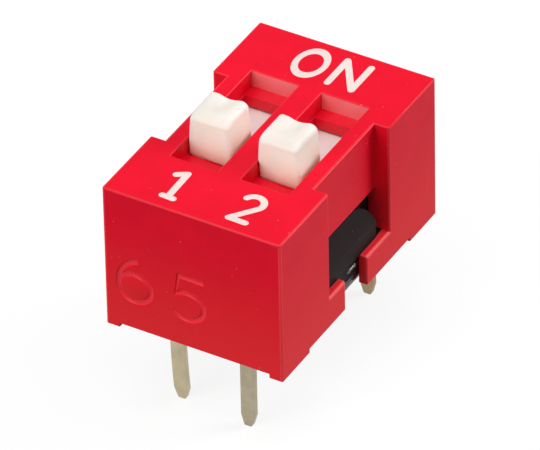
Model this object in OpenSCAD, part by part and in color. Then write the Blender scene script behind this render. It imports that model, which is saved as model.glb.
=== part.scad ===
// Two-position slide DIP switch for through-hole boards, in millimetres.
// Origin: centre of the pin grid, on the plane where the stand-offs meet the board.
// X runs along the row of switches, Y from the OFF end to the ON end, Z up.

/* [Pin grid] */
// Distance between the two switch positions
pitch = 2.54; // [2.2:0.02:3.2]
// Distance between the front and back rows of pins
row_spacing = 7.62; // [6.2:0.02:10]
// Width of a pin
pin_w = 0.5; // [0.35:0.01:0.7]
// Thickness of the terminal strip
pin_t = 0.25; // [0.18:0.01:0.32]
// Length of a pin below the board plane
pin_l = 3.2; // [2.2:0.05:4.5]
// Height of a pin's tapered tip
tip_l = 0.42; // [0.2:0.02:0.8]
// Width of the flat end of the tip
tip_w = 0.26; // [0.15:0.01:0.34]

/* [Slider] */
// Width of the knob
knob_w = 1.4; // [1.1:0.02:1.7]
// Length of the knob along its travel
knob_l = 1.5; // [1.2:0.02:1.9]
// Height of the knob above the top of the cover
knob_h = 0.94; // [0.5:0.02:1.6]
// Radius of the knob's upright corners
knob_r = 0.12; // [0.05:0.01:0.25]
// Travel from OFF to ON
travel = 2; // [1.6:0.05:2.5]
// Thickness of the slide plate under the cover
plate_t = 0.6; // [0.4:0.02:0.8]
// How far the plate reaches past each side of the opening
plate_side = 0.17; // [0.12:0.01:0.22]
// How far the plate reaches past the opening's far end
plate_lap = 0.1; // [0.05:0.01:0.2]
// How far slider 1 stands to the left in its play
lean_1 = 0.05; // [0:0.01:0.11]
// How far slider 2 stands to the left in its play
lean_2 = 0.11; // [0:0.01:0.11]

/* [Cover] */
// Height of the cover above the board plane
cover_h = 5.36; // [4.4:0.02:6.6]
// Depth of the recess around each knob
pocket_depth = 0.62; // [0.4:0.02:0.8]
// Thickness of the ledges left at the recess floor
ledge_t = 0.43; // [0.3:0.01:0.6]
// Length of the ledge at the OFF end
ledge_front = 1.06; // [0.8:0.02:1.4]
// Length of the ledge at the ON end
ledge_back = 0.5; // [0.3:0.02:0.8]
// Width of the narrow ledge along each side of the recess
ledge_side = 0.03; // [0.02:0.01:0.08]
// Thickness of the side wall at the waist
side_wall = 0.28; // [0.2:0.005:0.4]
// Thickness of the end walls
end_wall = 0.45; // [0.35:0.01:0.6]
// How far the waist is set in from the end blocks
waist_depth = 0.525; // [0.45:0.005:0.7]
// Length of the waist
waist_l = 3.87; // [3.2:0.02:4.7]
// Height of the waist wall above the window
waist_wall_h = 2.5; // [2:0.02:3]
// Room between a pin and the inside of the end wall
pin_end_gap = 0.585; // [0.4:0.01:0.8]
// Radius of the cover's outer edges
edge_r = 0.07; // [0.04:0.01:0.15]

/* [Feet] */
// Height of the stand-offs
standoff_h = 0.15; // [0.1:0.01:0.3]
// Width of a stand-off
standoff_w = 0.5; // [0.3:0.02:0.7]
// Length of a stand-off
standoff_l = 1.75; // [1.2:0.05:2.2]
// Height of the feet under the window
foot_h = 1.27; // [1.1:0.01:1.6]
// Length of the foot that starts at the front block
foot_front_l = 0.99; // [0.6:0.01:1.3]
// Length of the foot that starts at the back block
foot_back_l = 1.5; // [0.8:0.01:1.8]
// Thickness of a foot
foot_t = 0.32; // [0.24:0.01:0.4]

/* [Base] */
// Depth of the sealing resin under the base
seal_h = 0.55; // [0.3:0.01:0.8]
// Room between the snap lug's front end and the window
lug_front_gap = 0.05; // [0.03:0.01:0.4]
// Room between the snap lug's back end and the window
lug_back_gap = 0.46; // [0.2:0.01:0.8]
// How far the lug's face stays inside the feet's outer face
lug_inset = 0.245; // [0.1:0.005:0.3]
// Height of the upright part of the lug's face
lug_face_h = 0.7; // [0.3:0.02:1]
// Radius of the lug's upper back corner
lug_r = 1.1; // [0.5:0.05:1.3]
// Width of a contact pad
pad_w = 1; // [0.8:0.02:1.2]
// Thickness of the base around each terminal's anchor
anchor_gap = 0.25; // [0.15:0.01:0.4]

/* [Contact] */
// Width of the bridging spring
spring_w = 0.9; // [0.7:0.02:1.1]
// Thickness of the bridging spring's strip
spring_t = 0.1; // [0.06:0.01:0.14]
// Height of the spring between slider and base
spring_h = 0.92; // [0.7:0.01:1.1]
// Distance between the spring's two feet
spring_span = 2; // [1.6:0.05:2.2]
// Width of the square peg that holds the spring
peg_w = 0.4; // [0.3:0.02:0.5]

/* [Clearances] */
// Play on each side of a knob in its opening
knob_gap = 0.125; // [0.12:0.005:0.15]
// Play at each end of a knob's travel
end_gap = 0.03; // [0.02:0.01:0.06]
// Play above the slide plate
plate_gap = 0.05; // [0.03:0.01:0.08]
// Room past the slide plate at the end of its travel
run_gap = 0.1; // [0.05:0.01:0.2]
// Gap between the spring's feet and the pads
foot_gap = 0.02; // [0.01:0.01:0.04]
// Fit between the sides of the base and the cover
fit_gap = 0.02; // [0.01:0.01:0.04]

/* [Hidden] */
$fn = 48;
// Overlap of cutters past the face that they open
eps = 0.1;
POSITIONS = [-1, 1];
ENDS = [-1, 1];
FRONT = -1;
BACK = 1;

// Widths across the switch
opening_w = knob_w + 2 * knob_gap;
pocket_w = opening_w + 2 * ledge_side;
plate_w = opening_w + 2 * plate_side;
channel_w = plate_w + 2 * knob_gap;
waist_in_x = (pitch + channel_w) / 2;
waist_x = waist_in_x + side_wall;
cover_x = waist_x + waist_depth;
lug_x = cover_x - lug_inset;
foot_x = cover_x - foot_t;

// Lengths along the travel
opening_l = knob_l + travel + 2 * end_gap;
pocket_l = ledge_front + opening_l + ledge_back;
opening_y = pocket_l / 2 - ledge_back - opening_l / 2;
off_y = opening_y - travel / 2;
on_y = opening_y + travel / 2;
plate_half = knob_l / 2 + travel + end_gap + plate_lap;
row_y = row_spacing / 2;
cavity_y = max(row_y + pin_t / 2 + pin_end_gap, on_y + plate_half + run_gap);
cover_y = cavity_y + end_wall;

// Heights above the board plane
ledge_z = cover_h - pocket_depth;
roof_z = ledge_z - ledge_t;
plate_z = roof_z - plate_gap - plate_t;
floor_z = plate_z - spring_h - foot_gap;
window_z = cover_h - waist_wall_h;
skirt_z = standoff_h;
seal_z = skirt_z + seal_h;
knob_z = cover_h + knob_h;
anchor_z = seal_z + anchor_gap;
pad_z = floor_z - pin_t;

// Contact pads: the front one reaches under the spring's front foot in both states
ring_r = spring_h / 2;
pad_lap = 0.2;
front_pad_end = on_y - spring_span / 2 + pad_lap;
back_pad_end = on_y + spring_span / 2 - 2 * pad_lap - ring_r;

// Rectangle centred on the origin with rounded corners
module round_rect(w, l, r) {
    square([w - 2 * r, l], center = true);
    square([w, l - 2 * r], center = true);
    for (x = ENDS, y = ENDS)
        translate([x * (w / 2 - r), y * (l / 2 - r)]) circle(r = r);
}

// Upright outline from the board plane to height h, with both upper corners rounded
module round_top(w, h, r) {
    translate([-w / 2, 0]) square([w, h - r]);
    translate([-w / 2 + r, 0]) square([w - 2 * r, h]);
    for (x = ENDS)
        translate([x * (w / 2 - r), h - r]) circle(r = r);
}

// Box given by its lowest and highest corners
module span_box(low, high) {
    translate(low) cube(high - low);
}

// Cutter on both sides of the switch: from x1 outwards, between two places in y and z
module side_cuts(x1, y1, y2, z1, z2) {
    for (s = ENDS)
        mirror([s < 0 ? 1 : 0, 0, 0])
            span_box([x1, y1, z1], [cover_x + eps, y2, z2]);
}

// Outer block of the cover with its edges rounded
module cover_block() {
    intersection() {
        linear_extrude(cover_h) round_rect(2 * cover_x, 2 * cover_y, edge_r);
        translate([0, cover_y + eps, 0]) rotate([90, 0, 0])
            linear_extrude(2 * (cover_y + eps)) round_top(2 * cover_x, cover_h, edge_r);
        translate([-cover_x - eps, 0, 0]) rotate([90, 0, 90])
            linear_extrude(2 * (cover_x + eps)) round_top(2 * cover_y, cover_h, edge_r);
    }
}

// Cuts of one switch position: recess, opening and the channel of its slide plate
module slot_cuts() {
    span_box([-pocket_w / 2, -pocket_l / 2, ledge_z], [pocket_w / 2, pocket_l / 2, cover_h + eps]);
    translate([0, opening_y, 0])
        span_box([-opening_w / 2, -opening_l / 2, floor_z], [opening_w / 2, opening_l / 2, cover_h]);
    span_box([-channel_w / 2, -cavity_y, floor_z - eps], [channel_w / 2, cavity_y, roof_z]);
}

// Room for the base below the slide channels
module base_room() {
    span_box([-waist_in_x, -cavity_y, -eps], [waist_in_x, cavity_y, floor_z]);
    span_box([-foot_x, -cavity_y, -eps], [foot_x, cavity_y, foot_h]);
}

// Gaps that leave only the four stand-offs touching the board
module standoff_cuts() {
    inner_x = cover_x - standoff_w;
    inner_y = cover_y - standoff_l;
    span_box([-inner_x, -cover_y - eps, -eps], [inner_x, cover_y + eps, skirt_z]);
    span_box([-cover_x - eps, -inner_y, -eps], [cover_x + eps, inner_y, skirt_z]);
}

module cover() {
    half = waist_l / 2;
    color("crimson") difference() {
        cover_block();
        side_cuts(waist_x, -half, half, foot_h, cover_h + eps);
        side_cuts(waist_x - side_wall - eps, -half, half, foot_h, window_z);
        side_cuts(foot_x - eps, foot_front_l - half, half - foot_back_l, -eps, foot_h + eps);
        for (p = POSITIONS)
            translate([p * pitch / 2, 0, 0]) slot_cuts();
        base_room();
        standoff_cuts();
    }
}

// Lug seen from the side: square at the front, its upper back corner rounded
module lug_outline() {
    y1 = lug_front_gap - waist_l / 2;
    y2 = waist_l / 2 - lug_back_gap;
    low = foot_h - fit_gap;
    high = window_z - fit_gap;
    r = min(lug_r, high - low - eps);
    translate([y1, low]) square([y2 - y1, high - low - r]);
    translate([y1, low]) square([y2 - y1 - r, high - low]);
    translate([y2 - r, high - r]) circle(r = r);
}

// Lug seen from the front: a wedge that runs out over the feet from the waist wall
module lug_wedge() {
    in_x = waist_in_x - fit_gap;
    root_x = foot_x - fit_gap;
    low = foot_h + fit_gap;
    high = window_z - fit_gap;
    polygon([[in_x, foot_h - fit_gap], [root_x, foot_h - fit_gap], [root_x, low], [lug_x, low],
             [lug_x, low + min(lug_face_h, (high - low) / 2)], [waist_x, high], [in_x, high]]);
}

// Snap lug on both sides of the base, under the cover's waist wall
module lugs() {
    for (s = ENDS)
        mirror([s < 0 ? 1 : 0, 0, 0]) intersection() {
            rotate([90, 0, 90]) linear_extrude(lug_x) lug_outline();
            translate([0, waist_l, 0]) rotate([90, 0, 0]) linear_extrude(2 * waist_l) lug_wedge();
        }
}

// Plan of the terminal strip that lies in the base: pad from the pin row to its end
module pad_plan(s) {
    pad_end = s == FRONT ? front_pad_end : back_pad_end;
    y1 = min(s * (row_y + pin_t / 2), pad_end);
    y2 = max(s * (row_y + pin_t / 2), pad_end);
    translate([-pad_w / 2, y1]) square([pad_w, y2 - y1]);
}

// One terminal in the place of its pin: pad, anchor and pin with a tapered tip
module terminal_shape(s) {
    translate([0, 0, pad_z]) linear_extrude(pin_t) pad_plan(s);
    translate([0, s * row_y + pin_t / 2, 0]) rotate([90, 0, 0]) linear_extrude(pin_t) {
        translate([-pad_w / 2, anchor_z]) square([pad_w, pad_z - anchor_z]);
        polygon([[-pin_w / 2, anchor_z], [pin_w / 2, anchor_z], [pin_w / 2, tip_l - pin_l],
                 [tip_w / 2, -pin_l], [-tip_w / 2, -pin_l], [-pin_w / 2, tip_l - pin_l]]);
    }
}

// Base that closes the cover, held between its end walls
module base() {
    color([0.1, 0.1, 0.11]) difference() {
        union() {
            span_box([-foot_x + fit_gap, -cavity_y, seal_z],
                     [foot_x - fit_gap, cavity_y, foot_h - fit_gap]);
            span_box([-waist_in_x + fit_gap, -cavity_y, seal_z],
                     [waist_in_x - fit_gap, cavity_y, floor_z]);
            lugs();
        }
        for (p = POSITIONS, s = ENDS)
            translate([p * pitch / 2, 0, 0]) terminal_shape(s);
    }
}

// Resin that seals the underside, level with the cover's skirt
module seal() {
    color([0.06, 0.06, 0.08]) difference() {
        span_box([-foot_x, -cavity_y, skirt_z], [foot_x, cavity_y, seal_z]);
        for (p = POSITIONS, s = ENDS)
            translate([p * pitch / 2, 0, 0]) terminal_shape(s);
    }
}

// Slider at rest: knob, slide plate and the peg that holds its spring
module slider(p, lean) {
    color("ivory") translate([p * pitch / 2 - lean, off_y, 0]) {
        span_box([-plate_w / 2, -plate_half, plate_z], [plate_w / 2, plate_half, plate_z + plate_t]);
        translate([0, 0, plate_z]) linear_extrude(knob_z - plate_z) round_rect(knob_w, knob_l, knob_r);
        span_box([-peg_w / 2, -peg_w / 2, plate_z - 2 * spring_t], [peg_w / 2, peg_w / 2, plate_z]);
    }
}

// Half of a round loop at one end of the spring, with its short tail
module spring_loop() {
    difference() {
        circle(r = ring_r);
        circle(r = ring_r - spring_t);
        translate([-2 * ring_r, -2 * ring_r]) square([2 * ring_r, 4 * ring_r]);
    }
    translate([-ring_r, -ring_r]) square([ring_r, spring_t]);
}

// Bridging spring under a slider: a flat bar with a loop at each end
module contact(p, lean) {
    half = spring_span / 2;
    color("goldenrod") translate([p * pitch / 2 - lean, off_y, plate_z - ring_r]) difference() {
        translate([-spring_w / 2, 0, 0]) rotate([90, 0, 90]) linear_extrude(spring_w) {
            translate([-half, ring_r - spring_t]) square([spring_span, spring_t]);
            for (s = ENDS)
                mirror([s < 0 ? 1 : 0, 0]) translate([half, 0]) spring_loop();
        }
        span_box([-peg_w / 2, -peg_w / 2, 0], [peg_w / 2, peg_w / 2, ring_r + eps]);
    }
}

// Terminal of position p in row s
module terminal(p, s) {
    color("tan") translate([p * pitch / 2, 0, 0]) terminal_shape(s);
}

cover();
base();
seal();
slider(-1, lean_1);  // slider_1
slider(1, lean_2);  // slider_2
contact(-1, lean_1);  // contact_1
contact(1, lean_2);  // contact_2
terminal(-1, FRONT);  // terminal_front_1
terminal(1, FRONT);  // terminal_front_2
terminal(-1, BACK);  // terminal_back_1
terminal(1, BACK);  // terminal_back_2
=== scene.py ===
"""Looks of the two-position slide DIP switch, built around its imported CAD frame.

Pieces are modelled in millimetres, in the frame's own axes, and turned into metres when they are done.
X runs along the row of switches, Y from the OFF end to the ON end, Z up from the board plane.
"""

import math

import bmesh
import bpy
from mathutils import Matrix, Vector


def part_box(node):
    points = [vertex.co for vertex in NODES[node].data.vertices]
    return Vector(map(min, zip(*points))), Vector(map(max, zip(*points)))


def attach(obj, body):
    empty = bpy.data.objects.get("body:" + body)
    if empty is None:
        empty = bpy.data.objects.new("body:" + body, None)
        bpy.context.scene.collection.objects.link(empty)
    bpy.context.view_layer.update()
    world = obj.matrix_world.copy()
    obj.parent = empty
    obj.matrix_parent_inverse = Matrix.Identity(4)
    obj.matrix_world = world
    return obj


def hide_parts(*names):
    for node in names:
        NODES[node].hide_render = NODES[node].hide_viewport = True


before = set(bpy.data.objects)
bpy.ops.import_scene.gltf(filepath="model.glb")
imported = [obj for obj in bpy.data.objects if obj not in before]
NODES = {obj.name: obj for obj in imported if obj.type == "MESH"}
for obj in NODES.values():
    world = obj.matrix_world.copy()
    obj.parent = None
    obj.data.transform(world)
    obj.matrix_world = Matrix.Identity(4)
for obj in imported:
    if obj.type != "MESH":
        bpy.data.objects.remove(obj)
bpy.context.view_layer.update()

MM = 0.001


# ---------------------------------------------------------------- places from the frame, in mm

def box_mm(node):
    """Lowest and highest corner of a CAD node at rest, in millimetres."""
    low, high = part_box(node)
    return low / MM, high / MM


cover_low, cover_high = box_mm("cover")
seal_low, seal_high = box_mm("seal")

TOP_Z = cover_high.z
FRONT_Y = cover_low.y
FLOOR_Z = box_mm("terminal_front_1")[0].z
PITCH = 2.54
SLOT_X = (-PITCH / 2, PITCH / 2)

# The recess around a knob, as in the CAD cover
POCKET_W = 1.71
POCKET_HALF_L = 2.56
POCKET_DEPTH = 0.62
OPENING_W = 1.65
LEDGE_T = 0.43
LEDGE_Z = TOP_Z - POCKET_DEPTH

# The waist and the feet below it, as in the CAD cover
WAIST_X = 2.67
WAIST_Y = 1.935
FOOT_H = 1.27

# The knob, the slide plate under it and the peg under that, as in the CAD slider
KNOB_W = 1.4
KNOB_L = 1.5
PLATE_Z = 3.66
PLATE_T = 0.6
PEG_W = 0.4

# How close a place has to be to count as the same, and the steepest turn that still counts as flat
NEAR = 0.01
FLAT = math.radians(1)


# ---------------------------------------------------------------- mesh helpers

def add_object(name, mesh):
    obj = bpy.data.objects.new(name, mesh)
    bpy.context.scene.collection.objects.link(obj)
    return obj


def from_bmesh(name, bm):
    bmesh.ops.recalc_face_normals(bm, faces=bm.faces)
    mesh = bpy.data.meshes.new(name)
    bm.to_mesh(mesh)
    bm.free()
    return add_object(name, mesh)


def remove(obj):
    bpy.data.objects.remove(obj)


def apply_modifiers(obj):
    """Turns a piece, curve or mesh, into the mesh that its modifiers give."""
    depsgraph = bpy.context.evaluated_depsgraph_get()
    mesh = bpy.data.meshes.new_from_object(obj.evaluated_get(depsgraph))
    if obj.type == "MESH":
        obj.modifiers.clear()
        obj.data = mesh
        return obj
    name = obj.name
    remove(obj)
    return add_object(name, mesh)


def combine(obj, other, operation):
    """Boolean of two closed meshes. The other mesh is used up."""
    modifier = obj.modifiers.new("combine", "BOOLEAN")
    modifier.operation = operation
    modifier.solver = "EXACT"
    modifier.object = other
    apply_modifiers(obj)
    remove(other)
    return obj


def round_edges(obj, width, segments=3, angle=30):
    """Rounds every edge sharper than angle."""
    modifier = obj.modifiers.new("round", "BEVEL")
    modifier.width = width
    modifier.segments = segments
    modifier.limit_method = "ANGLE"
    modifier.angle_limit = math.radians(angle)
    modifier.miter_outer = "MITER_ARC"
    apply_modifiers(obj)
    return obj


def round_outer_edges(obj, width_of, widest, slot=-1, segments=4):
    """Rounds each sharp outer edge by width_of(middle, way), and gives the rounding that material slot."""
    bm = bmesh.new()
    bm.from_mesh(obj.data)
    weights = bm.edges.layers.float.new("bevel_weight_edge")
    for edge in bm.edges:
        if edge.is_convex and edge.calc_face_angle(0) > math.radians(30):
            a, b = (v.co for v in edge.verts)
            edge[weights] = width_of((a + b) / 2, (b - a).normalized()) / widest
    bm.to_mesh(obj.data)
    bm.free()
    modifier = obj.modifiers.new("round", "BEVEL")
    modifier.width = widest
    modifier.segments = segments
    modifier.limit_method = "WEIGHT"
    modifier.use_clamp_overlap = False
    modifier.material = slot
    apply_modifiers(obj)
    return obj


def cad_copy(node, name):
    """Copy of a CAD node's mesh in millimetres, with its flat faces whole again."""
    mesh = NODES[node].data.copy()
    mesh.materials.clear()
    mesh.transform(Matrix.Scale(1 / MM, 4))
    bm = bmesh.new()
    bm.from_mesh(mesh)
    bmesh.ops.remove_doubles(bm, verts=bm.verts, dist=1e-4)
    bmesh.ops.dissolve_limit(bm, angle_limit=FLAT, verts=bm.verts, edges=bm.edges)
    bpy.data.meshes.remove(mesh)
    return from_bmesh(name, bm)


def box_mesh(name, low, high):
    bm = bmesh.new()
    bmesh.ops.create_cube(bm, size=1)
    low, high = Vector(low), Vector(high)
    for v in bm.verts:
        v.co = Vector(low[i] + (high[i] - low[i]) * (v.co[i] + 0.5) for i in range(3))
    return from_bmesh(name, bm)


def loft(name, loops):
    """Closed mesh through loops of points, all with as many points, closed at both ends."""
    bm = bmesh.new()
    rings = [[bm.verts.new(p) for p in loop] for loop in loops]
    count = len(rings[0])
    for low, high in zip(rings, rings[1:]):
        for i in range(count):
            j = (i + 1) % count
            bm.faces.new((low[i], low[j], high[j], high[i]))
    bm.faces.new(rings[0])
    bm.faces.new(rings[-1])
    return from_bmesh(name, bm)


def shade(obj, angle=30):
    """Smooth shading that stays flat on flat faces."""
    bm = bmesh.new()
    bm.from_mesh(obj.data)
    for face in bm.faces:
        face.smooth = True
    for edge in bm.edges:
        edge.smooth = edge.calc_face_angle(0) < math.radians(angle)
    bm.to_mesh(obj.data)
    bm.free()
    obj.modifiers.new("even", "WEIGHTED_NORMAL").keep_sharp = True
    apply_modifiers(obj)


def place(obj, body, materials, nodes=()):
    """Last step for a piece: metres, shading, materials, its body, and hiding the CAD nodes that it stands
    for.
    """
    obj.data.transform(Matrix.Scale(MM, 4))
    shade(obj)
    for i, material in enumerate(materials):
        if i < len(obj.data.materials):
            obj.data.materials[i] = material
        else:
            obj.data.materials.append(material)
    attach(obj, body)
    if nodes:
        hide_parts(*nodes)
    return obj


# ---------------------------------------------------------------- materials

class Nodes:
    """A material's node tree around one Principled shader."""

    def __init__(self, name, **sockets):
        self.material = bpy.data.materials.new(name)
        self.material.use_nodes = True
        self.tree = self.material.node_tree
        self.shader = self.tree.nodes["Principled BSDF"]
        for key, value in sockets.items():
            self.shader.inputs[key.replace("_", " ")].default_value = value
        self.place = self.add("ShaderNodeTexCoord").outputs["Object"]

    def add(self, kind, **settings):
        node = self.tree.nodes.new(kind)
        for key, value in settings.items():
            setattr(node, key, value)
        return node

    def link(self, source, target):
        self.tree.links.new(source, target)

    def noise(self, size_mm, detail=3, stretch=(1, 1, 1)):
        """Noise with features of about size_mm, longer along an axis whose stretch is above 1."""
        mapping = self.add("ShaderNodeMapping")
        mapping.inputs["Scale"].default_value = [1 / s for s in stretch]
        self.link(self.place, mapping.inputs["Vector"])
        node = self.add("ShaderNodeTexNoise")
        node.inputs["Scale"].default_value = 1 / (size_mm * MM)
        node.inputs["Detail"].default_value = detail
        self.link(mapping.outputs["Vector"], node.inputs["Vector"])
        return node.outputs["Fac"]

    def height(self):
        """Height of a point above the board plane."""
        node = self.add("ShaderNodeSeparateXYZ")
        self.link(self.place, node.inputs["Vector"])
        return node.outputs["Z"]

    def ramp(self, source, start, end, low, high):
        """Source from start to end, turned into a value from low to high."""
        node = self.add("ShaderNodeMapRange")
        for key, value in (("From Min", start), ("From Max", end), ("To Min", low), ("To Max", high)):
            node.inputs[key].default_value = value
        self.link(source, node.inputs["Value"])
        return node.outputs["Result"]

    def mix(self, factor, first, second):
        """Mix of two colours, each a colour or a socket."""
        node = self.add("ShaderNodeMix", data_type="RGBA")
        self.link(factor, node.inputs["Factor"])
        for key, value in (("A", first), ("B", second)):
            socket = next(s for s in node.inputs if s.name == key and s.type == "RGBA")
            if isinstance(value, bpy.types.NodeSocket):
                self.link(value, socket)
            else:
                socket.default_value = (*value, 1)
        return next(s for s in node.outputs if s.type == "RGBA")

    def paint(self, colour):
        self.link(colour, self.shader.inputs["Base Color"])

    def rough(self, value):
        self.link(value, self.shader.inputs["Roughness"])

    def bump(self, height, depth_mm):
        node = self.add("ShaderNodeBump")
        node.inputs["Distance"].default_value = depth_mm * MM
        self.link(height, node.inputs["Height"])
        self.link(node.outputs["Normal"], self.shader.inputs["Normal"])


def plastic(name, colour, speck, gloss, roughness, grain_mm=0.05, grain_depth=0.002, painted_light=(), **sockets):
    """Moulded plastic: cloudy colour, fine grain and a few pale specks of dust.

    Its list of painted light and shade holds colours that grow downwards, each with the heights in mm where
    it starts and is full.
    """
    nodes = Nodes(name, Specular_IOR_Level=gloss, **sockets)
    darker = [c * 0.93 for c in colour]
    cloud = nodes.mix(nodes.ramp(nodes.noise(1.3), 0.35, 0.65, 0, 1), darker, colour)
    # Painted light and shade: tints by height that stand for light falling on the piece
    for painted_tint, start, full in painted_light:
        cloud = nodes.mix(nodes.ramp(nodes.height(), start * MM, full * MM, 0, 1), cloud, painted_tint)
    dust = nodes.ramp(nodes.noise(0.11, 1), 0.77, 0.8, 0, 0.6)
    nodes.paint(nodes.mix(dust, cloud, speck))
    grain = nodes.noise(grain_mm, 4)
    nodes.rough(nodes.ramp(grain, 0.3, 0.7, roughness - 0.05, roughness + 0.05))
    nodes.bump(grain, grain_depth)
    return nodes.material


def metal(name, colour, roughness):
    """Rolled strip: fine scratches along its height, faint stains."""
    nodes = Nodes(name, Metallic=1.0)
    stain = nodes.ramp(nodes.noise(0.5), 0.35, 0.7, 0, 1)
    nodes.paint(nodes.mix(stain, colour, [c * 0.8 for c in colour]))
    scratches = nodes.noise(0.03, 4, stretch=(1, 1, 12))
    nodes.rough(nodes.ramp(scratches, 0.3, 0.7, roughness - 0.08, roughness + 0.08))
    nodes.bump(scratches, 0.002)
    return nodes.material


def seen_share(tree):
    """1 for rays that show a surface directly, in a gloss or through glass, and 0 for the rest."""
    light_path = tree.nodes.new("ShaderNodeLightPath")
    total = light_path.outputs["Is Camera Ray"]
    for key in ("Is Glossy Ray", "Is Transmission Ray"):
        top = tree.nodes.new("ShaderNodeMath")
        top.operation = "MAXIMUM"
        tree.links.new(total, top.inputs[0])
        tree.links.new(light_path.outputs[key], top.inputs[1])
        total = top.outputs[0]
    return total


def glowing(name, colour, glow):
    """Floor that shows white around the object and still takes its shadow."""
    nodes = Nodes(name, Roughness=0.9, Specular_IOR_Level=0.0)
    cloud = nodes.ramp(nodes.noise(60), 0.35, 0.65, 0, 1)
    nodes.paint(nodes.mix(cloud, colour, [c * 0.97 for c in colour]))
    level = nodes.ramp(seen_share(nodes.tree), 0, 1, 0, glow)
    nodes.shader.inputs["Emission Color"].default_value = (1, 1, 1, 1)
    nodes.link(level, nodes.shader.inputs["Emission Strength"])
    return nodes.material


RED = (0.86, 0.006, 0.027)
RED_DUST = (0.95, 0.3, 0.3)
RED_SHINY_DUST = (0.9, 0.1, 0.1)
WHITE_DUST = (0.7, 0.66, 0.6)
RESIN = (0.012, 0.01, 0.012)
RESIN_DUST = (0.1, 0.1, 0.12)

# Paler and pinker from 4.2 mm down to 0.4 mm: painted reflection of the pale floor on the lower sides
red_matte = plastic("red_matte", RED, (0.95, 0.25, 0.25), gloss=0.07, roughness=0.42,
                    painted_light=[((0.87, 0.026, 0.034), 4.2, 0.4)])
# Roundings of the edges: a paler red than the faces, a painted highlight, with a real gloss
red_edge_painted_highlight = plastic("red_edge_painted_highlight", (0.88, 0.02, 0.04), RED_DUST, gloss=0.2, roughness=0.35)
red_polished = plastic("red_polished", RED, RED_SHINY_DUST, gloss=0.3, roughness=0.16, grain_depth=0.001)
# Pale pink back walls of the recesses: painted reflection of the white knobs, on top of a real gloss
red_painted_reflection = plastic("red_painted_reflection", (0.93, 0.2, 0.22), (0.9, 0.25, 0.25), gloss=0.8, roughness=0.2,
                   grain_depth=0.001)
# Walls and rims of the sunk figures: a paler red, partly painted highlight, with a real gloss
red_groove_painted_highlight = plastic("red_groove_painted_highlight", (0.9, 0.02, 0.04), RED_SHINY_DUST, gloss=0.22, roughness=0.3,
                     grain_depth=0.001)
# Rounded top edges of the feet: pale pink, a painted highlight
red_painted_foot_highlight = plastic("red_painted_foot_highlight", (0.9, 0.07, 0.08), RED_DUST, gloss=0.35, roughness=0.5)
# Upright outer corners: a brighter red than the faces, painted light and highlight
red_painted_corner_light = plastic("red_painted_corner_light", (0.97, 0.035, 0.05), RED_DUST, gloss=0.35, roughness=0.5)
ink = plastic("ink", (0.9, 0.74, 0.7), (0.9, 0.5, 0.48), gloss=0.2, roughness=0.5, grain_mm=0.03)
# Whiter and greener at the top of the knob and oranger lower down: painted light from above and painted red
# glow from the cover around the knob
white = plastic("white", (0.86, 0.82, 0.76), WHITE_DUST, gloss=0.2, roughness=0.35, grain_mm=0.2,
                painted_light=[((0.88, 0.9, 0.81), 6.25, 5.95), ((0.9, 0.76, 0.6), 5.75, 4.85)],
                Subsurface_Weight=1.0, Subsurface_Radius=(1.0, 0.75, 0.6), Subsurface_Scale=0.6 * MM)
# The slide plate's white: brighter and cooler than the knob's, painted light where the slot shades it
white_plate_painted_light = plastic("white_plate_painted_light", (0.93, 0.94, 0.91), WHITE_DUST, gloss=0.3, roughness=0.35,
                      grain_mm=0.2)
black = plastic("black", (0.014, 0.007, 0.008), (0.25, 0.2, 0.2), gloss=0.06, roughness=0.5)
resin = plastic("resin", RESIN, RESIN_DUST, gloss=0.2, roughness=0.12, grain_mm=0.12, grain_depth=0.03)
resin_wet = plastic("resin_wet", RESIN, RESIN_DUST, gloss=1.0, roughness=0.1, grain_mm=0.2)
gold = metal("gold", (0.83, 0.62, 0.28), 0.25)
tin = metal("tin", (0.54, 0.46, 0.31), 0.38)
tin_dark = metal("tin_dark", (0.43, 0.37, 0.26), 0.4)
tin_brown = metal("tin_brown", (0.37, 0.28, 0.17), 0.42)


# ---------------------------------------------------------------- strokes of letters and figures

def arc(cx, cy, rx, ry, start, end, steps=24):
    """Points on an ellipse from angle start to angle end, in degrees."""
    turn = [math.radians(start + (end - start) * i / steps) for i in range(steps + 1)]
    return [(cx + rx * math.cos(a), cy + ry * math.sin(a)) for a in turn]


def ellipse(cx, cy, rx, ry, steps=48):
    """Points once round an ellipse."""
    return arc(cx, cy, rx, ry, 0, 360 - 360 / steps, steps - 1)


def outline(points, width, steps=8):
    """Outline of a stroke with round ends, as a closed list of points."""
    p = [Vector(q) for q in points]
    ways = []
    for i in range(len(p)):
        way = p[min(i + 1, len(p) - 1)] - p[max(i - 1, 0)]
        ways.append(way.normalized())
    left = [q + Vector((-w.y, w.x)) * width / 2 for q, w in zip(p, ways)]
    right = [q - Vector((-w.y, w.x)) * width / 2 for q, w in zip(p, ways)]

    def cap(centre, way, side):
        start = math.atan2(way.x * side, -way.y * side)
        return [centre + Vector((math.cos(a), math.sin(a))) * width / 2
                for a in (start - math.pi * k / steps for k in range(1, steps))]

    return left + cap(p[-1], ways[-1], 1) + right[::-1] + cap(p[0], ways[0], -1)


def slab(name, points, low, high):
    """Flat closed solid over an outline in the XY plane."""
    loops = [[(x, y, z) for x, y in points] for z in (low, high)]
    return loft(name, loops)


def letter(name, strokes, width, low, high):
    """Joined solid of several strokes."""
    whole = None
    for stroke in strokes:
        part = slab(name, outline(stroke, width), low, high)
        whole = combine(whole, part, "UNION") if whole else part
    return whole


# Width of a printed stroke, and the heights between which the ink lies
INK_WIDTH = 0.228
INK_LOW = TOP_Z - 0.01
INK_HIGH = TOP_Z + 0.008

# Centre of the O, and its half width and half height outside and inside the stroke
O_CENTRE = (-0.65, 3.765)
O_OUTER = (0.58, 0.825)
O_INNER = (0.375, 0.525)


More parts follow.
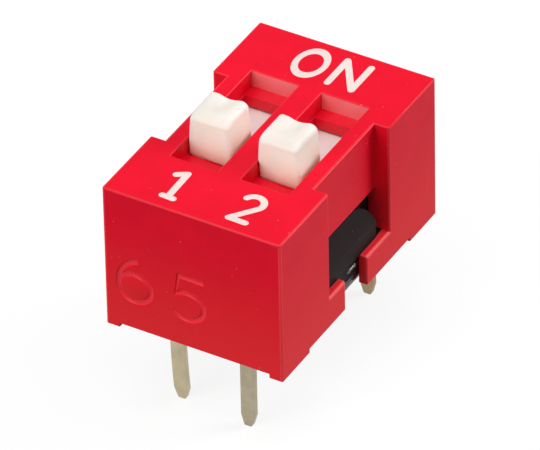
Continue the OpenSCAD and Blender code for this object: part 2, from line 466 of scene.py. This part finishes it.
def print_legends():
    """ON behind the knobs, 1 and 2 in front of them."""
    n_left, n_right, n_low, n_high = 0.31, 1.17, 3.11, 4.44
    one_top, one_foot = (-1.15, -3.13), (-1.12, -4.44)
    two_corner = (1.055, -4.44)
    letters = {
        "legend_n": [[(n_left, n_low), (n_left, n_high)],
                     [(n_left, n_high), (n_right, n_low)],
                     [(n_right, n_low), (n_right, n_high)]],
        "legend_1": [[one_top, one_foot],
                     [one_top, (-1.46, -3.32)],
                     [(-1.32, -4.43), (-0.92, -4.45)]],
        "legend_2": [arc(1.385, -3.47, 0.345, 0.345, 154, -28) + [two_corner],
                     [two_corner, (1.66, -4.46)]],
    }
    for name, strokes in letters.items():
        place(letter(name, strokes, INK_WIDTH, INK_LOW, INK_HIGH), "housing", [ink])
    ring = slab("legend_o", ellipse(*O_CENTRE, *O_OUTER), INK_LOW, INK_HIGH)
    hole = slab("hole", ellipse(*O_CENTRE, *O_INNER), INK_LOW - 1, INK_HIGH + 1)
    place(combine(ring, hole, "DIFFERENCE"), "housing", [ink])


# ---------------------------------------------------------------- cover

# Slots of the cover's materials
MATTE, EDGE, POLISHED, PALE, GROOVE, FOOT_HIGHLIGHT, CORNER = range(7)
COVER_MATERIALS = [red_matte, red_edge_painted_highlight, red_polished, red_painted_reflection, red_groove_painted_highlight, red_painted_foot_highlight, red_painted_corner_light]

# The round tool that sinks the figures: its radius, how far its middle stays outside, and the rim's rounding
GROOVE_R = 0.115
GROOVE_OUT = 0.055
RIM = 0.03

# Radius of the outer edges of the CAD cover, which are squared before they are rounded here
CAD_EDGE_R = 0.07

# How far the cover's edges are rounded
EDGE_R = 0.07
UPRIGHT_R = 0.09
FOOT_R = 0.1
WAIST_TOP_R = 0.08
WAIST_R = 0.03
RECESS_R = 0.01
OTHER_R = 0.035


def groove(name, points, closed=False):
    """Round-bottomed tool that sinks a stroke into the front face. Points are X and Z."""
    curve = bpy.data.curves.new(name, "CURVE")
    curve.dimensions = "3D"
    curve.bevel_depth = GROOVE_R
    curve.bevel_resolution = 4
    curve.use_fill_caps = True
    spline = curve.splines.new("POLY")
    spline.points.add(len(points) - 1)
    spline.use_cyclic_u = closed
    for point, (x, z) in zip(spline.points, points):
        point.co = (x, FRONT_Y - GROOVE_OUT, z, 1)
    tube = apply_modifiers(add_object(name, curve))
    bm = bmesh.new()
    bm.from_mesh(tube.data)
    remove(tube)
    bmesh.ops.remove_doubles(bm, verts=bm.verts, dist=1e-5)
    return from_bmesh(name, bm)


def moulded_number():
    """The two figures of the plain number on the front face."""
    stem = arc(-1.66, 1.9, 1.03, 1.0, 107, 180, 16)
    ring = ellipse(-2.1, 1.78, 0.59, 0.53)
    top = 2.86
    bowl = arc(-0.2, 1.75, 0.58, 0.52, 120, -150, 32)
    five = [(0.4, top), (-0.5, top), (-0.62, 2.12)] + bowl
    return [groove("six_ring", ring, closed=True), groove("six_stem", stem), groove("five", five)]


def in_recess(centre):
    """Whether a place is in a recess, on its walls or its ledges, below its rim."""
    return any(abs(centre.x - x) < POCKET_W / 2 + NEAR for x in SLOT_X) and \
        abs(centre.y) < POCKET_HALF_L + NEAR and LEDGE_Z - LEDGE_T - NEAR < centre.z < TOP_Z - 2 * NEAR


def on_front(face):
    return face.normal.y < -0.99 and face.calc_center_median().y < FRONT_Y + NEAR


def soften_rims(obj):
    """Rounds the rims of the sunk figures in the front face."""
    bm = bmesh.new()
    bm.from_mesh(obj.data)
    # Room that keeps the outer edges of the front face out
    inset_x, inset_z = 0.2, 0.6
    rims = [e for e in bm.edges if len(e.link_faces) == 2
            and on_front(e.link_faces[0]) != on_front(e.link_faces[1])
            and e.calc_face_angle() > math.radians(30)
            and cover_low.z + inset_z < (e.verts[0].co.z + e.verts[1].co.z) / 2 < TOP_Z - inset_z
            and abs(e.verts[0].co.x) < cover_high.x - inset_x]
    bmesh.ops.bevel(bm, geom=rims, offset=RIM, segments=2, profile=0.5, affect="EDGES",
                    clamp_overlap=True, material=GROOVE)
    bm.to_mesh(obj.data)
    bm.free()


def on_foot(centre):
    """Whether a rounding is on the top edge of a foot, beside the waist."""
    return abs(centre.z - FOOT_H) < 0.1 and abs(centre.x) > WAIST_X + 0.1 and abs(centre.y) < WAIST_Y + NEAR


def on_corner(face):
    """Whether a rounding is on an upright outer corner of the cover."""
    x, y, z = (abs(c) for c in face.normal)
    return z < 0.1 and min(x, y) > 0.1 and abs(face.center.x) > cover_high.x - 0.1 and \
        abs(face.center.y) > cover_high.y - 0.1


def is_slanted(face, limit):
    """Whether no axis of the frame lies along a face's normal."""
    return max(abs(c) for c in face.normal) < limit


def cover_material(face):
    """Slot of a cover face before the figures are sunk. Roundings come in as EDGE."""
    if face.material_index == EDGE:
        # Roundings on the feet's tops take a paler pink, a painted highlight; those on the upright corners a
        # lighter red, painted light; the rest the edge red with its paler painted highlight
        return FOOT_HIGHLIGHT if on_foot(face.center) else CORNER if on_corner(face) else EDGE
    if is_slanted(face, 0.999):
        return EDGE
    if not in_recess(face.center):
        return MATTE
    on_back_wall = face.normal.y < -0.9 and face.center.y > POCKET_HALF_L - 2 * NEAR
    # The back wall of a recess gets the pale pink of a painted reflection
    return PALE if on_back_wall else POLISHED


def square_edges(obj):
    """Takes the small rounding off the block's outer edges, which are rounded again with the rest."""
    reach = CAD_EDGE_R + 0.001
    bm = bmesh.new()
    bm.from_mesh(obj.data)
    for v in bm.verts:
        out = [abs(v.co.x) > cover_high.x - reach, abs(v.co.y) > cover_high.y - reach, v.co.z > TOP_Z - reach]
        if sum(out) > 1:
            for i in range(3):
                if out[i]:
                    v.co[i] = math.copysign(cover_high[i], v.co[i])
    bmesh.ops.remove_doubles(bm, verts=bm.verts, dist=1e-4)
    bmesh.ops.dissolve_degenerate(bm, edges=bm.edges, dist=1e-4)
    bmesh.ops.dissolve_limit(bm, angle_limit=FLAT, verts=bm.verts, edges=bm.edges)
    bm.to_mesh(obj.data)
    bm.free()


def cover_edge(middle, way):
    """How far an outer edge of the cover is rounded."""
    if in_recess(middle):
        return RECESS_R
    if abs(middle.x) > WAIST_X - NEAR and abs(way.y) > 0.9 and abs(middle.y) < WAIST_Y + NEAR:
        if abs(middle.z - FOOT_H) < NEAR:
            return FOOT_R
        return WAIST_TOP_R if middle.z > TOP_Z - NEAR else WAIST_R
    out = [abs(middle.x) > cover_high.x - NEAR, abs(middle.y) > cover_high.y - NEAR, middle.z > TOP_Z - NEAR]
    if out[0] and abs(way.z) > 0.9:
        return UPRIGHT_R if out[1] else EDGE_R
    return EDGE_R if sum(out) > 1 else OTHER_R


def make_cover():
    cover = cad_copy("cover", "cover_shell")
    square_edges(cover)
    for material in COVER_MATERIALS:
        cover.data.materials.append(material)
    round_outer_edges(cover, cover_edge, widest=FOOT_R, slot=EDGE)
    for face in cover.data.polygons:
        face.material_index = cover_material(face)
    for tool in moulded_number():
        combine(cover, tool, "DIFFERENCE")
    # Walls of the sunk figures take the groove red, paler for a painted highlight
    for face in cover.data.polygons:
        if face.material_index == MATTE and face.center.y < FRONT_Y + 0.1 and is_slanted(face, 0.9999):
            face.material_index = GROOVE
    soften_rims(cover)
    return place(cover, "housing", COVER_MATERIALS, ["cover"])


# ---------------------------------------------------------------- sliders

# Radius of the knob's upright corners, from the back right one against the clock seen from above
CORNER_R = (0.2, 0.08, 0.08, 0.16)
CORNER_STEPS = 6
SIDE_STEPS = 10

# How deep the top is scooped, how far it falls to the front, and how low its right corners are
DISH = 0.165
FRONT_FALL = 0.1
CORNER_FALL = 0.06

# How far the lower right part of the front swells, and the front part of the right side flares
SWELL = 0.05
FLARE = 0.1

# How far the knob's left side stands out at the top, and how far its right and front sides stand back there
TOP_LEFT_OUT = 0.06
TOP_RIGHT_IN = 0.06
TOP_FRONT_IN = 0.04

# Rounding of the top along the left, right, front and back, and its height
LEFT_R, RIGHT_R, FRONT_R, BACK_R = 0.1, 0.15, 0.38, 0.18
TOP_ROUND_H = 0.28
TOP_ROUND_STEPS = 12


def rounded_loop(left, right, front, back, z, scale=1):
    """Points of a rectangle with round corners; z is a number or a function of x and y."""
    corners = ((right, back), (left, back), (left, front), (right, front))
    signs = ((1, 1), (-1, 1), (-1, -1), (1, -1))
    rounds = []
    for quarter, ((px, py), (sx, sy)) in enumerate(zip(corners, signs)):
        r = CORNER_R[quarter] * scale
        turn = [math.radians(90 * (quarter + i / CORNER_STEPS)) for i in range(CORNER_STEPS + 1)]
        rounds.append([Vector((px - sx * r + r * math.cos(a), py - sy * r + r * math.sin(a))) for a in turn])
    loop = []
    for quarter, corner in enumerate(rounds):
        far = rounds[(quarter + 1) % 4][0]
        loop += corner + [corner[-1].lerp(far, k / SIDE_STEPS) for k in range(1, SIDE_STEPS)]
    return [(p.x, p.y, z(p.x, p.y) if callable(z) else z) for p in loop]


def smooth(value):
    """Smooth step of a value between 0 and 1."""
    value = min(1.0, max(0.0, value))
    return value * value * (3 - 2 * value)


def sag(x, y):
    """How far the top of a knob sags: a scoop along its back half, a soft front and low right corners."""
    half_x, half_y = KNOB_W / 2, KNOB_L / 2
    middle, left_reach, right_reach = -0.13, 0.34, 0.55
    side = (x - middle) / (left_reach if x < middle else right_reach)
    scoop = smooth(1 - abs(side)) * smooth(0.45 + y / half_y)
    front = smooth((-y / half_y - 0.45) / 0.9)
    corner = smooth((x / half_x - 0.6) / 0.6)
    return -DISH * scoop - FRONT_FALL * front - CORNER_FALL * corner


def swell(loop, top):
    """Pushes the right part of a knob's front and the front part of its right side out low down."""
    swollen = []
    for x, y, z in loop:
        if z > LEDGE_Z + 0.03:
            out_y = SWELL * smooth((x + 0.3) / 0.45) * smooth(-2 * y / KNOB_L) * smooth((top - 0.3 - z) / 0.7)
            share_y = smooth(0.5 - y / KNOB_L)
            out_x = FLARE * smooth(2 * x / KNOB_W) * share_y * smooth((TOP_Z + 0.5 - z) / 0.5)
            x, y = x + out_x, y - out_y
        swollen.append((x, y, z))
    return swollen


def knob_sides(top, room):
    """Loops up the sides of a knob. room is how far its left side may stand out inside the slot."""
    half_x, half_y = KNOB_W / 2, KNOB_L / 2
    # Height, then how far the left, right and front sides stand out there
    sides = [(PLATE_Z + PLATE_T - 0.2, 0, 0, 0),
             (LEDGE_Z + 0.02, 0, 0, 0),
             (LEDGE_Z + 0.04, room, 0, 0.03),
             (TOP_Z - 0.1, room, 0, 0.04),
             (TOP_Z + 0.05, TOP_LEFT_OUT, -0.01, 0.03),
             (TOP_Z + 0.3, TOP_LEFT_OUT, -0.03, 0.01),
             (top - 0.3, TOP_LEFT_OUT, -TOP_RIGHT_IN, -TOP_FRONT_IN)]
    return [swell(rounded_loop(-half_x - left, half_x + right, -half_y - front, half_y, z), top)
            for z, left, right, front in sides]


def knob_top(top):
    """Loops over the rounded edge of a knob and in to the middle of its scooped top."""
    left, right = -KNOB_W / 2 - TOP_LEFT_OUT, KNOB_W / 2 - TOP_RIGHT_IN
    front, back = -KNOB_L / 2 + TOP_FRONT_IN, KNOB_L / 2
    loops = []
    for i in range(1, TOP_ROUND_STEPS + 1):
        a = math.radians(90 * i / TOP_ROUND_STEPS)
        inset, share, height = 1 - math.cos(a), math.sin(a) ** 2, top - TOP_ROUND_H * (1 - math.sin(a))
        loops.append(rounded_loop(left + LEFT_R * inset, right - RIGHT_R * inset,
                                  front + FRONT_R * inset, back - BACK_R * inset,
                                  lambda x, y, share=share, height=height: height + share * sag(x, y)))
    left, right, front, back = left + LEFT_R, right - RIGHT_R, front + FRONT_R, back - BACK_R
    middle_x, middle_y = (left + right) / 2, (front + back) / 2
    for share in (0.85, 0.7, 0.55, 0.4, 0.2, 0.02):
        ends = [middle_x + (left - middle_x) * share, middle_x + (right - middle_x) * share,
                middle_y + (front - middle_y) * share, middle_y + (back - middle_y) * share]
        loops.append(rounded_loop(*ends, lambda x, y: top + sag(x, y), scale=share))
    return loops


def make_slider(index):
    """Knob, slide plate and peg of one position, as one mesh."""
    node = f"slider_{index}"
    low, high = box_mm(node)
    slider = box_mesh(f"slide_{index}", (low.x, low.y, PLATE_Z), (high.x, high.y, PLATE_Z + PLATE_T))
    round_edges(slider, 0.04)
    centre = Vector(((low.x + high.x) / 2, (low.y + high.y) / 2, 0))
    # Room that stays between the knob and the wall of its slot
    play = 0.005
    left_gap = centre.x - KNOB_W / 2 - SLOT_X[index - 1] + OPENING_W / 2
    knob = loft("knob", knob_sides(high.z, min(TOP_LEFT_OUT, left_gap - play)) + knob_top(high.z))
    knob.data.transform(Matrix.Translation(centre))
    combine(slider, knob, "UNION")
    half = PEG_W / 2
    peg_low = (centre.x - half, centre.y - half, low.z)
    peg_high = (centre.x + half, centre.y + half, PLATE_Z + 0.1)
    combine(slider, box_mesh("peg", peg_low, peg_high), "UNION")
    for face in slider.data.polygons:
        # The plate's faces take the brighter white, painted light against the slot's shade
        face.material_index = int(face.center.z < PLATE_Z + PLATE_T + NEAR)
    return place(slider, f"switch_{index}", [white, white_plate_painted_light], [node])


# ---------------------------------------------------------------- base, resin and metal

# Rounding of the resin's two lower sides
RESIN_R = 0.36

# Middle of the wet bead beside the base, half its length, and how far it stands out and up at its thickest
BEAD_X, BEAD_Y, BEAD_Z = 2.85, 0.17, 0.97
BEAD_HALF_L = 0.48
BEAD_OUT = 0.05
BEAD_UP = 0.09
BEAD_RINGS = 33
BEAD_SIDES = 24

# Width of the roundings on the base, the pins and the springs
BASE_R = 0.02
PIN_R = 0.04
SPRING_R = 0.01

# Finish of each pin, and how far the tip of a bent one leans back
PIN_FINISH = {"front_1": tin, "front_2": tin_dark, "back_1": tin_dark, "back_2": tin_brown}
PIN_BEND = {"front_1": 0.22, "back_2": 0.1}
BEND_SLICES = 12


def make_base():
    base = cad_copy("base", "base_block")
    round_edges(base, BASE_R, segments=2)
    return place(base, "housing", [black], ["base"])


def resin_edge(middle, way):
    """How far an edge of the resin is rounded: most along its two lower sides, where it sagged as it set."""
    if abs(middle.x) > seal_high.x - NEAR and abs(way.y) > 0.9 and middle.z < seal_low.z + NEAR:
        return RESIN_R
    return 0.01


def make_resin():
    fill = cad_copy("seal", "resin_fill")
    round_outer_edges(fill, resin_edge, widest=RESIN_R, segments=8)
    return place(fill, "housing", [resin], ["seal"])


def bead_loop(side, along):
    """Section of a bead at a place along it from -1 to 1, thinner to its ends and a little uneven."""
    uneven = 1 + 0.12 * math.sin(7 * along) + 0.06 * math.sin(19 * along)
    size = max(0.02, (1 - along * along) * uneven)
    turn = [math.radians(360 * i / BEAD_SIDES) for i in range(BEAD_SIDES)]
    return [(side * (BEAD_X + BEAD_OUT * size * math.cos(a)),
             BEAD_Y + BEAD_HALF_L * along,
             BEAD_Z + BEAD_UP * size * math.sin(a)) for a in turn]


def make_beads():
    """Resin that crept up both sides of the base, between the feet."""
    for name, side in (("resin_bead_left", -1), ("resin_bead_right", 1)):
        loops = [bead_loop(side, 2 * k / (BEAD_RINGS - 1) - 1) for k in range(BEAD_RINGS)]
        place(loft(name, loops), "housing", [resin_wet])


def bend(strip, reach):
    """Bends the free end of a pin back, slices first so that it curves."""
    bm = bmesh.new()
    bm.from_mesh(strip.data)
    length = -FLOOR_Z
    for i in range(BEND_SLICES):
        bmesh.ops.bisect_plane(bm, geom=bm.verts[:] + bm.edges[:] + bm.faces[:],
                               plane_co=(0, 0, -length * i / BEND_SLICES), plane_no=(0, 0, 1))
    for v in bm.verts:
        if v.co.z < 0:
            v.co.y += reach * (v.co.z / length) ** 2
    bm.to_mesh(strip.data)
    bm.free()


def make_terminals():
    for key, finish in PIN_FINISH.items():
        strip = cad_copy(f"terminal_{key}", f"pin_{key}")
        round_edges(strip, PIN_R, segments=3, angle=40)
        if key in PIN_BEND:
            bend(strip, PIN_BEND[key])
        place(strip, "housing", [finish], [f"terminal_{key}"])


def make_contacts():
    for index in (1, 2):
        node = f"contact_{index}"
        spring = cad_copy(node, f"spring_{index}")
        round_edges(spring, SPRING_R, segments=2, angle=40)
        place(spring, f"switch_{index}", [gold], [node])


# ---------------------------------------------------------------- stage

FLOOR_HALF_W = 600
# The colour that the floor has for the light on the object, and the glow that shows it white
FLOOR_GREY = (0.17, 0.17, 0.17)
FLOOR_GLOW = 0.85


def make_floor():
    """Plain pale floor at the tips of the pins."""
    bm = bmesh.new()
    bmesh.ops.create_grid(bm, x_segments=1, y_segments=1, size=FLOOR_HALF_W)
    for v in bm.verts:
        v.co.z = FLOOR_Z
    floor = from_bmesh("floor", bm)
    floor.data.transform(Matrix.Scale(MM, 4))
    floor.data.materials.append(glowing("floor_white", FLOOR_GREY, FLOOR_GLOW))


def make_world(ambient):
    """Even ambient light, and a white surround for what sees it directly or in a gloss."""
    world = bpy.data.worlds.new("studio")
    bpy.context.scene.world = world
    world.use_nodes = True
    tree = world.node_tree
    background = tree.nodes["Background"]
    background.inputs["Color"].default_value = (1, 1, 1, 1)
    level = tree.nodes.new("ShaderNodeMapRange")
    level.inputs["To Min"].default_value = ambient
    level.inputs["To Max"].default_value = 1
    tree.links.new(seen_share(tree), level.inputs["Value"])
    tree.links.new(level.outputs["Result"], background.inputs["Strength"])


def make_lamp(name, direction, strength, angle):
    """Soft far lamp that shines from that direction. Its angle in degrees makes it soft."""
    light = bpy.data.lights.new(name, "SUN")
    light.energy = strength
    light.angle = math.radians(angle)
    lamp = bpy.data.objects.new(name, light)
    lamp.rotation_mode = "QUATERNION"
    lamp.rotation_quaternion = Vector(direction).to_track_quat("Z", "Y")
    bpy.context.scene.collection.objects.link(lamp)


def make_camera(azimuth, elevation, roll, distance, lens, shift):
    """Long lens that looks at the frame's origin, then moves by shift along its own X and Y, in mm."""
    a, e, t = (math.radians(v) for v in (azimuth, elevation, roll))
    back = Vector((math.sin(a) * math.cos(e), -math.cos(a) * math.cos(e), math.sin(e)))
    level = (-back).cross(Vector((0, 0, 1))).normalized()
    upward = level.cross(-back)
    right = math.cos(t) * level + math.sin(t) * upward
    top = math.cos(t) * upward - math.sin(t) * level
    place_at = back * distance + right * shift[0] + top * shift[1]
    data = bpy.data.cameras.new("camera")
    data.lens = lens
    data.sensor_width = 36
    data.clip_start = 0.01
    data.clip_end = 10
    camera = bpy.data.objects.new("camera", data)
    bpy.context.scene.collection.objects.link(camera)
    camera.matrix_world = Matrix((right, top, back)).transposed().to_4x4()
    camera.location = place_at * MM
    bpy.context.scene.camera = camera


make_camera(azimuth=30.397, elevation=37.422, roll=-1.202, distance=255.88, lens=537.95,
            shift=(-0.087, 1.337))
make_floor()
make_world(ambient=0.17)
make_lamp("overhead", (0.05, -0.15, 1), strength=1.54, angle=60)
make_lamp("key_right", (0.66, 0.62, 0.42), strength=1.88, angle=32)
make_lamp("key_left", (-0.34, -0.84, 0.4), strength=1.51, angle=38)
bpy.context.scene.view_settings.view_transform = "Standard"

make_cover()
print_legends()
for position in (1, 2):
    make_slider(position)
make_base()
make_resin()
make_beads()
make_terminals()
make_contacts()
